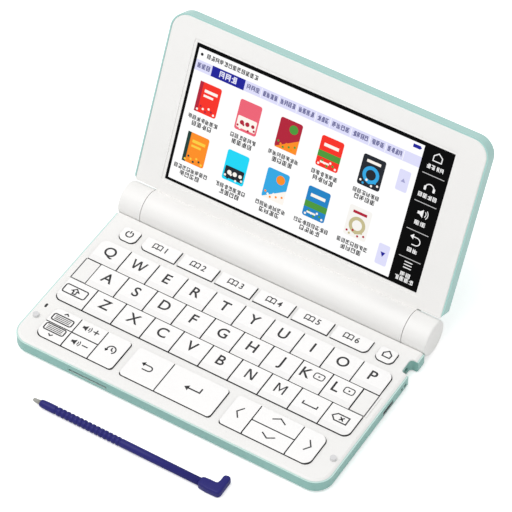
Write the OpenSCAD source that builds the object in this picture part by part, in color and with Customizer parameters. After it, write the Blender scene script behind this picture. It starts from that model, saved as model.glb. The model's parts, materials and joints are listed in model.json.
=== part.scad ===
// Pocket electronic dictionary: a clamshell with a keyboard base, a touch-screen lid that
// turns on a battery barrel, and a loose stylus lying in front of it. Millimetres, +Z up.

/* [Body] */
// Width of the base and of the lid
body_w = 148; // [144:1:160]
// Distance from the front edge to the hinge axis
hinge_y = 87.5; // [86:0.5:96]
// Diameter of the hinge barrel, which is also the closed thickness
barrel_d = 15.7; // [15.5:0.1:17]
// Radius of the body's outer corners, seen from above
corner_r = 8; // [5:0.5:10]
// Wall of the lower case and of the lid's back case
case_wall = 1.0; // [0.8:0.1:1.3]
// Thickness of the deck plate, which lies on the lower case's rim
deck_t = 0.8; // [0.7:0.1:1]
// Width of the lower case's rim that shows around the deck
deck_ledge = 0.7; // [0.4:0.1:0.8]
// Height of the rubber feet
foot_h = 0.6; // [0.4:0.1:1.2]
// Radius of each rubber foot
foot_r = 3; // [2:0.5:3.5]
// Inset of the front feet from the body's sides
foot_inset = 12; // [9:1:24]

/* [Keys] */
// Distance from the body's sides to the letter block
block_inset = 4.3; // [4:0.1:4.6]
// Pitch of the letter rows from front to back
row_pitch = 12.54; // [12:0.02:12.6]
// Distance from the front edge to the letter block
letter_y = 25.8; // [25.4:0.1:26.4]
// Height of the key tops above the deck
key_proud = 0.7; // [0.4:0.05:0.9]
// Thickness of a key cap
key_t = 1.6; // [1.4:0.1:1.8]
// Travel of a key
key_travel = 0.6; // [0.4:0.05:0.7]
// Gap between two neighbouring keys
key_gap = 0.5; // [0.3:0.05:0.7]
// Gap between a key and the deck around it
key_side_gap = 0.3; // [0.2:0.05:0.4]
// Radius of the outer corners of a key block
block_r = 3.2; // [2:0.1:4]
// Distance from the body's left side to the six wide keys
fn_left = 19.6; // [19:0.1:20]
// Distance from the body's right side to the six wide keys
fn_right = 20.1; // [19.5:0.1:20.5]
// Gap between two of the six wide keys
fn_key_gap = 1.62; // [1:0.02:2]
// Depth of the back row of keys
fn_d = 6.9; // [6:0.1:7]
// Gap from the letter block to the back row of keys
fn_gap = 3.5; // [3.2:0.1:3.6]
// Width of the power key and of the home key
round_key_w = 7.9; // [7:0.1:8]
// Depth of the three key clusters at the front
cluster_d = 16.4; // [14:0.1:16.6]
// Distance from the front edge to the clusters
cluster_y = 5.8; // [5.5:0.1:7]

/* [Inside the base] */
// Thickness of the rubber key mat
mat_t = 0.35; // [0.25:0.05:0.4]
// Thickness of the main board
board_t = 1.0; // [0.8:0.1:1]
// Clearance between two stacked sheets
stack_gap = 0.05; // [0.03:0.01:0.1]
// Radius of the stylus bore
silo_r = 1.9; // [1.8:0.05:1.95]
// Length of the stylus bore
silo_l = 85; // [70:1:100]
// Floor under the stylus bore
silo_floor = 0.45; // [0.4:0.05:0.5]
// Width of the block around the stylus bore
silo_block_w = 5; // [4.6:0.1:5]
// Depth of the stylus notch in the right side
notch_d = 3.5; // [3:0.1:4]
// Width of the stylus notch
notch_w = 8; // [7:0.1:8.4]
// Radius of a case screw's shank
screw_r = 0.9; // [0.7:0.05:1]
// Radius of a case screw's head
screw_head_r = 1.9; // [1.6:0.1:2]
// Height of a case screw's head
screw_head_h = 0.9; // [0.7:0.1:1]

/* [Lid] */
// Angle of the open lid above the table, leaning back
lid_lean = 64.4; // [50:0.1:80]
// Length of the lid from the hinge axis
lid_l = 87; // [86.5:0.5:95]
// Depth of the bezel's front face behind the hinge axis
bezel_back = 1.9; // [1.8:0.1:2.4]
// Width of the back case's lip that shows around the bezel
bezel_lip = 0.7; // [0.4:0.1:0.8]
// Thickness of the bezel plate
bezel_t = 0.9; // [0.8:0.1:1.2]
// Width of the bezel on each side of the touch panel
panel_side = 13.9; // [12:0.1:18]
// Height of the touch panel
panel_h = 62.3; // [56:0.1:64]
// Distance from the hinge axis to the touch panel
panel_s = 14.4; // [13:0.1:16]
// Thickness of the touch panel's glass
panel_t = 1.05; // [0.8:0.05:1.1]
// Width of the shallow step around the touch panel
step_w = 1.6; // [1:0.1:2]
// Depth of the shallow step around the touch panel
step_d = 0.3; // [0.2:0.05:0.4]
// Thickness of the display module
lcd_t = 2.8; // [2:0.1:3]

/* [Hinge and battery barrel] */
// Length of each hinge knuckle
knuckle_l = 11.1; // [9:0.1:12]
// Gap between a knuckle and the turning barrel
knuckle_gap = 0.3; // [0.2:0.05:0.5]
// Gap between the barrel and the base's trough
trough_gap = 0.3; // [0.2:0.05:0.5]
// Wall of the barrel
barrel_wall = 0.65; // [0.6:0.01:0.68]
// Radius of the hinge pins
pin_r = 2; // [1.5:0.1:2.5]
// Length of each hinge pin
pin_l = 13; // [11:0.1:14]
// Running clearance around a hinge pin
pin_gap = 0.05; // [0.03:0.01:0.08]
// Diameter of a battery cell
cell_d = 14.2; // [13.5:0.1:14.3]
// Length of a battery cell
cell_l = 50.5; // [48:0.1:51]

/* [Stylus] */
// Length of the stylus from its tip to its hook's back
stylus_l = 89; // [80:1:92]
// Radius of the stylus shaft
stylus_r = 1.75; // [1.5:0.05:1.75]
// Radius of the ribbed grip
grip_r = 1.82; // [1.7:0.01:1.85]
// Length of the ribbed grip
grip_l = 30; // [20:1:34]
// Length of the hook across the shaft
hook_l = 10; // [7:0.1:11]
// Width of the hook
hook_w = 3.4; // [3:0.1:4]
// Distance from the body's front edge to the stylus
stylus_front = 19; // [12:0.5:30]

/* [Hidden] */
$fn = 48;
tiny = 0.01;

barrel_r = barrel_d / 2;
half_w = body_w / 2;
// Places across that are typed for the nominal width stretch with the body
nominal_w = 148;
across = body_w / nominal_w;
underside_z = foot_h;
axis_z = underside_z + barrel_r;
key_top_z = axis_z - 0.65;
deck_top_z = key_top_z - key_proud;
deck_under_z = deck_top_z - deck_t;
key_bottom_z = key_top_z - key_t;
mat_top_z = key_bottom_z - key_travel - stack_gap;
mat_bottom_z = mat_top_z - mat_t;
board_top_z = mat_bottom_z - stack_gap;
board_bottom_z = board_top_z - board_t;
floor_top_z = underside_z + case_wall;

// The base: plan outline, trough for the barrel, and the back row of keys
edge_cut = 0.7;
deck_bevel = 0.9;
deck_edge_h = 0.2;
rear_corner_r = 1.5;
trough_r = barrel_r + trough_gap;
base_back_y = hinge_y - 4.8;
side_back_y = hinge_y - barrel_r - 0.1;
deck_back_y = hinge_y - 6;
sheet_inset = case_wall + 0.6;
fn_y = letter_y + 3 * row_pitch + fn_gap;
sheet_front_y = 3;
mat_back_y = fn_y + fn_d + 0.1;

// The notch in the right side and the stylus bore that opens into it
notch_y = fn_y - 0.4;
notch_x = half_w - notch_d;
silo_y = fn_y + fn_d / 2;
silo_z = underside_z + silo_floor + silo_r;
silo_block_y = silo_y - silo_block_w / 2;
silo_block_x = notch_x - silo_l - 1.2;
board_back_y = silo_block_y - 0.6;

// Case screws, in pairs on each side
screw_inset = 4.7;
back_screw_inset = 19;
screw_front_y = 9;
screw_back_y = mat_back_y + 2.4;
boss_r = 2;
boss_gap = 0.4;
screw_at = [for (s = [-1, 1], p = [[screw_inset, screw_front_y], [back_screw_inset, screw_back_y]])
    [s * (half_w - p[0]), p[1]]];
screw_seat_z = underside_z + 1.2;
screw_grip = 3;
screw_bite = 0.2;
boss_bottom_z = screw_seat_z + 0.6;

// Ports in the base's walls and what sits behind them
port_z = (floor_top_z + board_bottom_z) / 2;
usb_y = 50.6;
usb_w = 7.6;
usb_l = 6;
strap_y = 63;
strap_w = 4;
card_x = -35.8 * across;
card_w = 18;
card_l = 16;
card_t = 1.8;
card_z = board_bottom_z - card_t / 2;
port_play = 0.25;
speaker_at = [-48 * across, 42];
speaker_r = 8;
rib_inset = 30;
rib_y = [22, 56];
rib_l = 8;
rib_t = 1.2;
// Front left corner and width of each chip under the board
chips = [[5 * across, 30, 14], [26 * across, 44, 9], [-14 * across, 52, 8]];
chip_t = 1.2;
bumper_r = 1.3;
bumper_h = 1.3;
bumper_y = 14.2;
bumper_inset = 3.8;
mic_y = 20.9;
mic_inset = 4.15;
mic_r = 0.5;

// The lid, in its own frame: x across, s away from the hinge axis, w out of the screen
lid_back_w = -barrel_r;
bezel_w = -bezel_back;
bezel_under_w = bezel_w - bezel_t;
lip_t = bezel_lip - 0.05;
lip_drop = 0.15;
lid_start_s = barrel_r + 0.35;
back_start_s = lid_start_s + 2 * tiny;
panel_top_w = bezel_w - step_d;
panel_gap = 0.2;
panel_w = body_w - 2 * panel_side;
lcd_margin = 1.2;
lcd_top_w = panel_top_w - panel_t - stack_gap;
barrel_half = half_w - knuckle_l - knuckle_gap;
pin_in = 4;
pin_end_gap = 0.2;
pin_play = 0.02;
bore_r = barrel_r - barrel_wall;
bay_half = cell_l + 1;
door_play = 0.15;
knuckle_x = half_w - knuckle_l;

// The footprint's middle is the origin
heel_r = 2.5;
heel_l = 6.5;
stylus_y = -stylus_front;
hook_x = 36.5;
grip_from = 12;
tip_x = hook_x + hook_w - stylus_l;
front_most_y = stylus_y - heel_r;
back_most_y = hinge_y + lid_l * cos(lid_lean) + barrel_r * sin(lid_lean);
middle_y = (front_most_y + back_most_y) / 2;

// Keys: name, left, right, front, back, and corner radii from front left anticlockwise
key_pitch = (body_w - 2 * block_inset) / 10;
fn_pitch = (body_w - fn_left - fn_right + fn_key_gap) / 6;
fn_w = fn_pitch - fn_key_gap;
letters = [["q", "w", "e", "r", "t", "y", "u", "i", "o", "p"],
           ["a", "s", "d", "f", "g", "h", "j", "k", "l"],
           ["shift", "z", "x", "c", "v", "b", "n", "m", "space", "delete"]];
block_half = 5 * key_pitch;
row_y = [letter_y + 2 * row_pitch, letter_y + row_pitch, letter_y];
row_x = [-block_half, -block_half + key_pitch / 2, -block_half];
fn_x0 = -half_w + fn_left;
round_key_inset = 12.4;
round_key_x = half_w - round_key_inset;
cluster_back_y = cluster_y + cluster_d;
page_x = [-65.3, -52.6, -39.8, -28.2] * across;
back_x = [-25, -8, 18.2] * across;
arrow_x = [22, 32.9, 52.7, 63.8] * across;
function corner_set(row, i) =
    [row == 2 && i == 0 ? block_r : 0, row == 2 && i == 9 ? block_r : 0,
     row == 0 && i == 9 ? block_r : 0, row == 0 && i == 0 ? block_r : 0];
letter_keys = [for (r = [0:2], i = [0:len(letters[r]) - 1])
    [str("key_", letters[r][i]), row_x[r] + i * key_pitch, row_x[r] + (i + 1) * key_pitch,
     row_y[r], row_y[r] + row_pitch, corner_set(r, i), "letter"]];
fn_keys = [for (i = [0:5])
    [str("key_index_", i + 1), fn_x0 + i * fn_pitch, fn_x0 + i * fn_pitch + fn_w, fn_y, fn_y + fn_d,
     [i == 0 ? 2.4 : 0, i == 5 ? 2.4 : 0, 0, 0], "single"]];
round_keys = [for (k = [["key_power", -round_key_x], ["key_home", round_key_x]])
    [k[0], k[1] - round_key_w / 2, k[1] + round_key_w / 2, fn_y, fn_y + fn_d,
     [2.4, 2.4, 1.2, 1.2], "single"]];
function cluster_key(name, xs, i, radii, kind) =
    [name, xs[i], xs[i + 1], cluster_y, cluster_back_y, radii, kind];
cluster_keys = [
    cluster_key("key_page", page_x, 0, [block_r, 0, 0, block_r], "rocker"),
    cluster_key("key_volume", page_x, 1, [0, 0, 0, 0], "rocker"),
    cluster_key("key_history", page_x, 2, [0, block_r / 2, block_r / 2, 0], "cluster"),
    cluster_key("key_back", back_x, 0, [block_r / 2, 0, 0, block_r / 2], "cluster"),
    cluster_key("key_enter", back_x, 1, [0, block_r / 2, block_r / 2, 0], "cluster"),
    cluster_key("key_left", arrow_x, 0, [block_r / 2, 0, 0, block_r / 2], "cluster"),
    cluster_key("key_up_down", arrow_x, 1, [0, 0, 0, 0], "rocker"),
    cluster_key("key_right", arrow_x, 2, [0, block_r, block_r, 0], "cluster")];
KEYS = concat(round_keys, fn_keys, letter_keys, cluster_keys);

// A flat outline with a radius at each corner, from front left anticlockwise
module outline(x0, x1, y0, y1, r) {
    at = [[x0, y0, 1, 1], [x1, y0, -1, 1], [x1, y1, -1, -1], [x0, y1, 1, -1]];
    polygon([for (i = [0:3], k = [0, 1]) let (c = at[i], along = (i + k) % 2)
        [c[0] + (along == 1 ? c[2] * r[i] : 0), c[1] + (along == 1 ? 0 : c[3] * r[i])]]);
    for (i = [0:3]) if (r[i] > 0)
        translate([at[i][0] + at[i][2] * r[i], at[i][1] + at[i][3] * r[i]]) circle(r[i]);
}

module block(x0, x1, y0, y1, z0, z1) {
    translate([x0, y0, z0]) cube([x1 - x0, y1 - y0, z1 - z0]);
}

module rod_x(r, x0, x1, y, z) {
    translate([x0, y, z]) rotate([0, 90, 0]) cylinder(r = r, h = x1 - x0);
}

// One slice of a soft-edged shell, for a hull
module slice(inset, z, y0, y1, front_r, back_r) {
    translate([0, 0, z]) linear_extrude(tiny)
        outline(-half_w + inset, half_w - inset, y0 + inset, y1 - inset,
                [max(front_r - inset, 0.5), max(front_r - inset, 0.5),
                 max(back_r - inset, 0.5), max(back_r - inset, 0.5)]);
}

module trough(r) {
    rod_x(r, -half_w - 1, half_w + 1, hinge_y, axis_z);
}

module notch(z0, z1) {
    translate([0, 0, z0]) linear_extrude(z1 - z0)
        outline(notch_x, half_w + 4, notch_y, notch_y + notch_w, [1.5, 0, 0, 1.5]);
}

// The lower case, mint
module bottom_case() {
    color("#9fd4cb") difference() {
        union() {
            difference() {
                hull() {
                    slice(edge_cut, underside_z, 0, base_back_y, corner_r, rear_corner_r);
                    slice(0, underside_z + edge_cut, 0, base_back_y, corner_r, rear_corner_r);
                    slice(0, deck_under_z - 2 * tiny, 0, base_back_y, corner_r, rear_corner_r);
                }
                difference() {
                    translate([0, 0, floor_top_z]) linear_extrude(axis_z)
                        outline(-half_w + case_wall, half_w - case_wall, case_wall,
                                base_back_y + 1, [1, 1, 0, 0] * (corner_r - case_wall));
                    trough(trough_r + case_wall);
                    block(notch_x - case_wall, half_w, notch_y - case_wall,
                          notch_y + notch_w + case_wall, 0, deck_under_z - tiny);
                    block(silo_block_x, notch_x, silo_block_y, silo_block_y + silo_block_w,
                          0, board_top_z);
                    for (p = screw_at) translate([p[0], p[1], 0])
                        cylinder(r = boss_r + 0.8, h = boss_bottom_z - 0.1);
                    for (s = [-1, 1]) knuckle_seat(s, side_back_y - case_wall, case_wall);
                    for (x = [-1, 0, 1] * (half_w - rib_inset), y = rib_y)
                        block(x - rib_t / 2, x + rib_t / 2, y - rib_l / 2, y + rib_l / 2,
                              0, board_bottom_z - stack_gap);
                }
            }
        }
        trough(trough_r);
        for (s = [-1, 1]) knuckle_seat(s, side_back_y, 0);
        notch(0, axis_z);
        rod_x(silo_r, notch_x - silo_l, notch_x + 1, silo_y, silo_z);
        for (s = [-1, 1]) knuckle_tongue(s, 0.1);
        for (p = screw_at) translate([p[0], p[1], 0]) {
            cylinder(r = screw_head_r + 0.2, h = screw_seat_z);
            cylinder(r = screw_r + 0.15, h = axis_z);
        }
        block(half_w - 2 * case_wall, half_w + 1, usb_y - usb_w / 2 - port_play,
              usb_y + usb_w / 2 + port_play, floor_top_z, board_bottom_z);
        block(half_w - 2 * case_wall, half_w + 1, strap_y - strap_w / 2, strap_y + strap_w / 2,
              port_z - 0.8, port_z + 0.8);
        block(card_x - card_w / 2, card_x + card_w / 2, -1, case_wall + 1, card_z - 0.6, card_z + 0.6);
        for (i = [-2:2]) block(speaker_at[0] - 5, speaker_at[0] + 5, speaker_at[1] + 2.2 * i - 0.5,
                               speaker_at[1] + 2.2 * i + 0.5, 0, floor_top_z + 1);
    }
}

// The room behind the lower case in which a hinge knuckle sits
module knuckle_seat(side, y, margin) {
    x0 = side * (knuckle_x - knuckle_gap / 2 - margin);
    x1 = side * (half_w + 1);
    block(min(x0, x1), max(x0, x1), y, hinge_y, -1, axis_z);
}

// The tongue that carries a hinge knuckle in the lower case, and its slot
module knuckle_tongue(side, play) {
    x0 = knuckle_x + 1.2;
    x1 = half_w - 2.2;
    block(min(side * x0, side * x1) - play, max(side * x0, side * x1) + play, hinge_y - 10 - play,
          hinge_y - 4, floor_top_z + stack_gap - play, deck_under_z - stack_gap + play);
}

// Openings in the deck, one around each key or block of keys
module key_openings() {
    g = key_side_gap - key_gap / 2;
    outline(-block_half - g, block_half + g, letter_y - g, letter_y + 3 * row_pitch + g,
            [1, 1, 1, 1] * block_r);
    for (k = concat(round_keys, fn_keys))
        outline(k[1] - key_side_gap, k[2] + key_side_gap, k[3] - key_side_gap, k[4] + key_side_gap,
                [for (r = k[5]) r > 0 ? r + key_side_gap : 0]);
    for (c = [[page_x[0], page_x[3], [2, 1, 1, 2]], [back_x[0], back_x[2], [1, 1, 1, 1]],
              [arrow_x[0], arrow_x[3], [1, 2, 2, 1]]])
        outline(c[0] - g, c[1] + g, cluster_y - g, cluster_back_y + g, c[2] * block_r / 2);
}

// The white deck around the keys
module keyboard_deck() {
    color("#f4f3f2") difference() {
        union() {
            hull() for (p = [[deck_ledge, deck_under_z], [deck_ledge, deck_under_z + deck_edge_h],
                             [deck_ledge + deck_bevel, deck_top_z - tiny]])
                slice(p[0], p[1], 0, deck_back_y + p[0], corner_r, rear_corner_r);
            for (p = screw_at) translate([p[0], p[1], boss_bottom_z])
                cylinder(r = boss_r, h = deck_under_z + 0.2 - boss_bottom_z);
            // Fixed blank pads at both ends of the middle letter row
            for (s = [-1, 1]) block(s * block_half - (s > 0 ? key_pitch / 2 - key_gap / 2 : 1),
                                    s * block_half + (s > 0 ? 1 : key_pitch / 2 - key_gap / 2),
                                    row_y[1] + key_gap / 2, row_y[1] + row_pitch - key_gap / 2,
                                    deck_under_z, key_top_z - 0.3);
        }
        difference() {
            translate([0, 0, deck_under_z - 1]) linear_extrude(axis_z) key_openings();
            for (s = [-1, 1]) block(s * block_half - (s > 0 ? key_pitch / 2 - key_gap / 2 : 1),
                                    s * block_half + (s > 0 ? 1 : key_pitch / 2 - key_gap / 2),
                                    row_y[1] + key_gap / 2, row_y[1] + row_pitch - key_gap / 2,
                                    0, axis_z);
        }
        trough(trough_r);
        notch(0, axis_z);
        for (p = screw_at) translate([p[0], p[1], boss_bottom_z - 1])
            cylinder(r = screw_r + 0.02, h = 3.6);
        translate([-half_w + mic_inset, mic_y, 0]) cylinder(r = mic_r, h = axis_z);
    }
}

// A sheet that lies in the base, clear of the screw bosses
module base_sheet(y1, z0, t) {
    translate([0, 0, z0]) linear_extrude(t) difference() {
        outline(-half_w + sheet_inset, half_w - sheet_inset, sheet_front_y, y1, [4, 4, 0, 0]);
        for (p = screw_at) translate(p) circle(boss_r + boss_gap);
        translate([notch_x - case_wall - boss_gap, notch_y - case_wall - boss_gap])
            square([notch_d + 2 * case_wall, notch_w + 2 * (case_wall + boss_gap)]);
    }
}

module key_mat() {
    color("#c9ccd0") base_sheet(mat_back_y, mat_bottom_z, mat_t);
}

// The board, with the sockets, the speaker and the chips that it carries
module main_board() {
    color("#2f6b46") {
        base_sheet(board_back_y, board_bottom_z, board_t);
        block(half_w - case_wall - usb_l, half_w - case_wall - 0.2, usb_y - usb_w / 2,
              usb_y + usb_w / 2, floor_top_z + 0.2, board_bottom_z);
        block(card_x - card_w / 2, card_x + card_w / 2, sheet_front_y, sheet_front_y + card_l,
              board_bottom_z - card_t, board_bottom_z);
        translate([speaker_at[0], speaker_at[1], floor_top_z + 0.1])
            cylinder(r = speaker_r, h = board_bottom_z - floor_top_z - 0.1);
        for (c = chips)
            block(c[0], c[0] + c[2], c[1], c[1] + c[2], board_bottom_z - chip_t, board_bottom_z);
    }
}

// Four feet under the body, and two bumpers that the closed lid lands on
module feet_and_bumpers() {
    color("#8d9196") {
        for (s = [-1, 1]) {
            translate([s * (half_w - foot_inset), foot_inset, 0]) cylinder(r = foot_r, h = foot_h);
            difference() {
                translate([s * (half_w - knuckle_l / 2), hinge_y, 0])
                    cylinder(r = foot_r, h = foot_h + 1);
                trough(barrel_r);
            }
            translate([s * (half_w - bumper_inset), bumper_y, deck_top_z])
                cylinder(r = bumper_r, h = bumper_h);
        }
    }
}

module case_screws() {
    color("#b8bcc0") for (p = screw_at) translate([p[0], p[1], 0]) difference() {
        union() {
            translate([0, 0, screw_seat_z - screw_head_h]) cylinder(r = screw_head_r, h = screw_head_h);
            translate([0, 0, screw_seat_z - screw_bite])
                cylinder(r = screw_r, h = screw_grip + screw_bite);
        }
        for (a = [0, 90]) rotate([0, 0, a])
            block(-1.1, 1.1, -0.25, 0.25, 0, screw_seat_z - screw_head_h + 0.45);
    }
}

// The white end knuckles, fixed to the base, with a blind bore for the pin
module hinge_knuckles() {
    color("#f4f3f2") for (s = [-1, 1]) difference() {
        union() {
            translate([s * knuckle_x, hinge_y, axis_z]) rotate([0, s * 90, 0]) rotate_extrude()
                polygon([[0, 0], [barrel_r, 0], [barrel_r, knuckle_l - 0.8],
                         [barrel_r - 0.25, knuckle_l - 0.25], [barrel_r - 0.8, knuckle_l],
                         [0, knuckle_l]]);
            knuckle_tongue(s, 0);
        }
        translate([s * (knuckle_x - pin_in), hinge_y, axis_z]) rotate([0, s * 90, 0])
            cylinder(r = pin_r + pin_play, h = pin_l + pin_end_gap);
    }
}

module hinge_pins() {
    color("#a9adb2") for (s = [-1, 1])
        translate([s * (knuckle_x - pin_in), hinge_y, axis_z]) rotate([0, s * 90, 0])
            cylinder(r = pin_r, h = pin_l);
}

// Puts the lid's own frame at the hinge axis, at its open angle
module at_lid() {
    translate([0, hinge_y, axis_z]) rotate([lid_lean, 0, 0]) children();
}

// The lid's mint back shell
module lid_back_case() {
    color("#9fd4cb") at_lid() difference() {
        translate([0, 0, lid_back_w]) linear_extrude(bezel_w - lip_drop - lid_back_w)
            outline(-half_w, half_w, back_start_s, lid_l, [2.5, 2.5, corner_r, corner_r]);
        translate([0, 0, lid_back_w + case_wall]) linear_extrude(barrel_r)
            outline(-half_w + case_wall, half_w - case_wall, lid_start_s + case_wall,
                    lid_l - case_wall, [1, 1, corner_r - case_wall, corner_r - case_wall]);
        translate([0, 0, bezel_under_w - tiny]) linear_extrude(barrel_r)
            outline(-half_w + lip_t, half_w - lip_t, lid_start_s - 1, lid_l - lip_t,
                    [0, 0, corner_r - lip_t, corner_r - lip_t]);
    }
}

// The barrel's outer form with the flat back that runs on into the lid
module barrel_form(x_half, s_end) {
    rod_x(barrel_r, -x_half, x_half, 0, 0);
    block(-x_half, x_half, 0, s_end, lid_back_w, bezel_w);
}

// The room for the two cells
module battery_bay(x_half) {
    rod_x(bore_r, -x_half, x_half, 0, 0);
    block(-x_half, x_half, 0, bore_r, -bore_r, 0);
}

// The white bezel around the screen, in one with the battery barrel
module lid_bezel() {
    color("#f4f3f2") at_lid() difference() {
        union() {
            hull() {
                slice(bezel_lip, bezel_under_w, lid_start_s - bezel_lip, lid_l, 1, corner_r);
                slice(bezel_lip, bezel_w - 0.35, lid_start_s - bezel_lip, lid_l, 1, corner_r);
                slice(bezel_lip + 0.35, bezel_w - tiny, lid_start_s - bezel_lip - 0.35, lid_l, 1, corner_r);
            }
            barrel_form(barrel_half, lid_start_s + tiny);
        }
        battery_bay(bay_half);
        block(-bay_half, bay_half, -barrel_r - 1, bore_r, lid_back_w - 1, 0);
        for (s = [-1, 1]) translate([s * (knuckle_x - pin_in - 1), 0, 0]) rotate([0, s * 90, 0])
            cylinder(r = pin_r + pin_gap, h = 2 * pin_in);
        block(-panel_w / 2 - panel_gap, panel_w / 2 + panel_gap, panel_s - panel_gap,
              panel_s + panel_h + panel_gap, -barrel_r, 0);
        translate([0, 0, panel_top_w]) linear_extrude(2)
            outline(-panel_w / 2 - step_w, panel_w / 2 + step_w, panel_s - step_w,
                    panel_s + panel_h + step_w, [1, 1, 1, 1]);
    }
}

module touch_panel() {
    color("#15161a") at_lid()
        block(-panel_w / 2, panel_w / 2, panel_s, panel_s + panel_h, panel_top_w - panel_t, panel_top_w);
}

module lcd_module() {
    color("#d7dade") at_lid()
        block(-panel_w / 2 - lcd_margin, panel_w / 2 + lcd_margin, panel_s - lcd_margin,
              panel_s + panel_h + lcd_margin, lcd_top_w - lcd_t, lcd_top_w);
}

module battery_cells() {
    color("#3d4046") at_lid() for (i = [-1, 0]) translate([i * cell_l, 0, 0]) {
        rod_x(cell_d / 2, 0, cell_l - 1.4, 0, 0);
        rod_x(2.7, cell_l - 1.5, cell_l - 0.1, 0, 0);
    }
}

// The door over the cells, at the barrel's back
module battery_door() {
    x = bay_half - door_play;
    color("#f4f3f2") at_lid() intersection() {
        difference() {
            barrel_form(x, bore_r - door_play);
            battery_bay(x + 1);
        }
        block(-x, x, -barrel_r - 1, bore_r - door_play, lid_back_w - 1, -door_play);
    }
}

// The stylus, lying on the table: tip, collar, ribbed grip, shaft and hook
module stylus() {
    color("#33327f") translate([0, stylus_y, grip_r]) {
        translate([tip_x, 0, 0]) rotate([0, 90, 0]) rotate_extrude() polygon(concat(
            [[0, 0], [0.5, 0.2], [0.75, 1], [0.8, 3.6], [1.25, 4], [stylus_r, 7.2],
             [stylus_r, grip_from - 1], [stylus_r - 0.35, grip_from - 0.8],
             [stylus_r - 0.35, grip_from - 0.1], [grip_r, grip_from]],
            [for (i = [0:floor(grip_l / 2) - 1], k = [[0, 0], [1.4, 0], [1.5, 0.25], [1.9, 0.25]])
                [grip_r - k[1], grip_from + 0.05 + 2 * i + k[0]]],
            [[stylus_r, grip_from + grip_l + 0.1], [stylus_r, hook_x - tip_x - 1],
             [0, hook_x - tip_x - 1]]));
        translate([0, 0, -grip_r]) linear_extrude(2 * grip_r) {
            outline(hook_x - heel_l, hook_x + hook_w, -heel_r, heel_r, [2, 1.4, 0, 1.2]);
            outline(hook_x, hook_x + hook_w, -heel_r + 2, hook_l - heel_r, [0, 0, 1.5, 1.5]);
        }
    }
}

// One key cap. Its front band slopes down, and a rocker has a groove across its middle
module key(k) {
    x0 = k[1] + (k[6] == "single" ? 0 : key_gap / 2);
    x1 = k[2] - (k[6] == "single" ? 0 : key_gap / 2);
    y0 = k[3] + (k[6] == "single" ? 0 : key_gap / 2);
    y1 = k[4] - (k[6] == "single" ? 0 : key_gap / 2);
    slope = k[6] == "letter" ? 0.22 * row_pitch : 0.7;
    drop = k[6] == "letter" ? 0.2 : 0.3;
    color("#faf9f8") difference() {
        intersection() {
            translate([0, 0, key_bottom_z]) linear_extrude(key_t) outline(x0, x1, y0, y1, k[5]);
            translate([x0 - 1, 0, 0]) rotate([90, 0, 90]) linear_extrude(x1 - x0 + 2)
                polygon([[y0, key_bottom_z], [y1, key_bottom_z], [y1, key_top_z],
                         [y0 + slope, key_top_z], [y0, key_top_z - drop]]);
        }
        if (k[6] == "rocker")
            block(x0 - 1, x1 + 1, (y0 + y1) / 2 - key_gap / 2, (y0 + y1) / 2 + key_gap / 2,
                  key_top_z - key_t / 2, key_top_z + 1);
    }
}

translate([0, -middle_y, 0]) {
    bottom_case();
    keyboard_deck();
    key_mat();
    main_board();
    feet_and_bumpers();
    case_screws();
    hinge_knuckles();
    hinge_pins();
    lid_back_case();
    lid_bezel();
    touch_panel();
    lcd_module();
    battery_cells();
    battery_door();
    stylus();
    for (k = KEYS) key(k);
}
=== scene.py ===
"""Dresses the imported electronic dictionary: finishes, key legends, the lit screen, ports,
stylus and a plain studio stage."""

import json
import math
import random

import bmesh
import bpy
from bpy.props import FloatProperty, FloatVectorProperty, IntProperty, PointerProperty
from mathutils import Matrix, Vector


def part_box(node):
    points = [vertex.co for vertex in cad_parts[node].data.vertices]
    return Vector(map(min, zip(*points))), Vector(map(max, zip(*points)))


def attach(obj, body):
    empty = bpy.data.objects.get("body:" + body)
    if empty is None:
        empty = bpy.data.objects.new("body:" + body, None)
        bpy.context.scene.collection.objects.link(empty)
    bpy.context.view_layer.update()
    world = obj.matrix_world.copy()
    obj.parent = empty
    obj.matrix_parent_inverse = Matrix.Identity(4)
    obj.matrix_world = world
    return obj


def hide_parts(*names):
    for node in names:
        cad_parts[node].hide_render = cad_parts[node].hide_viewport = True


bl_info = {
    "name": "Electronic dictionary",
    "version": (1, 0, 0),
    "blender": (4, 5, 0),
    "location": "3D View > Sidebar > Dictionary",
    "description": "Dresses the packed electronic dictionary",
    "category": "Object",
}

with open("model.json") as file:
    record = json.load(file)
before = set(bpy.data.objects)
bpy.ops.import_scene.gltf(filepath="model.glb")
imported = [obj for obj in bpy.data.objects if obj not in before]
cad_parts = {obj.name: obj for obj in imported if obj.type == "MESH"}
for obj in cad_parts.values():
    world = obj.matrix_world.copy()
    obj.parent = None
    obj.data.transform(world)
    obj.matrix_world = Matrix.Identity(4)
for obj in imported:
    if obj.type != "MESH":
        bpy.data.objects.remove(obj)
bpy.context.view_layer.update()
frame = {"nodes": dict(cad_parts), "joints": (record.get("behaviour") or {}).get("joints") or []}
NODES = frame["nodes"]
MM = 0.001
LID_LEAN = math.radians(64.4)
HINGE = Vector(next(j["pos_m"] for j in frame["joints"] if j["name"] == "lid_hinge"))
KEYS = [name for name in NODES if name.startswith("key_") and name != "key_mat"]
LIFT = 0.01 * MM        # from a surface to a print on it, and from one printed layer to the next
HINGE_Y = 87.5          # from the front edge to the hinge axis, in millimetres


# Sizes and colours

def length(label, note, default):
    return FloatProperty(name=label, description=note, default=default, unit="LENGTH", precision=5)


def amount(label, note, default):
    return FloatProperty(name=label, description=note, default=default)


def colour(label, note, *rgb):
    """A colour property whose default is given as 8-bit sRGB."""
    linear = [linear_from_srgb(v) for v in rgb]
    return FloatVectorProperty(name=label, description=note, default=linear, size=3,
                               subtype="COLOR", min=0, max=1)


def linear_from_srgb(value):
    v = value / 255
    return v / 12.92 if v <= 0.04045 else ((v + 0.055) / 1.055) ** 2.4


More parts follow.
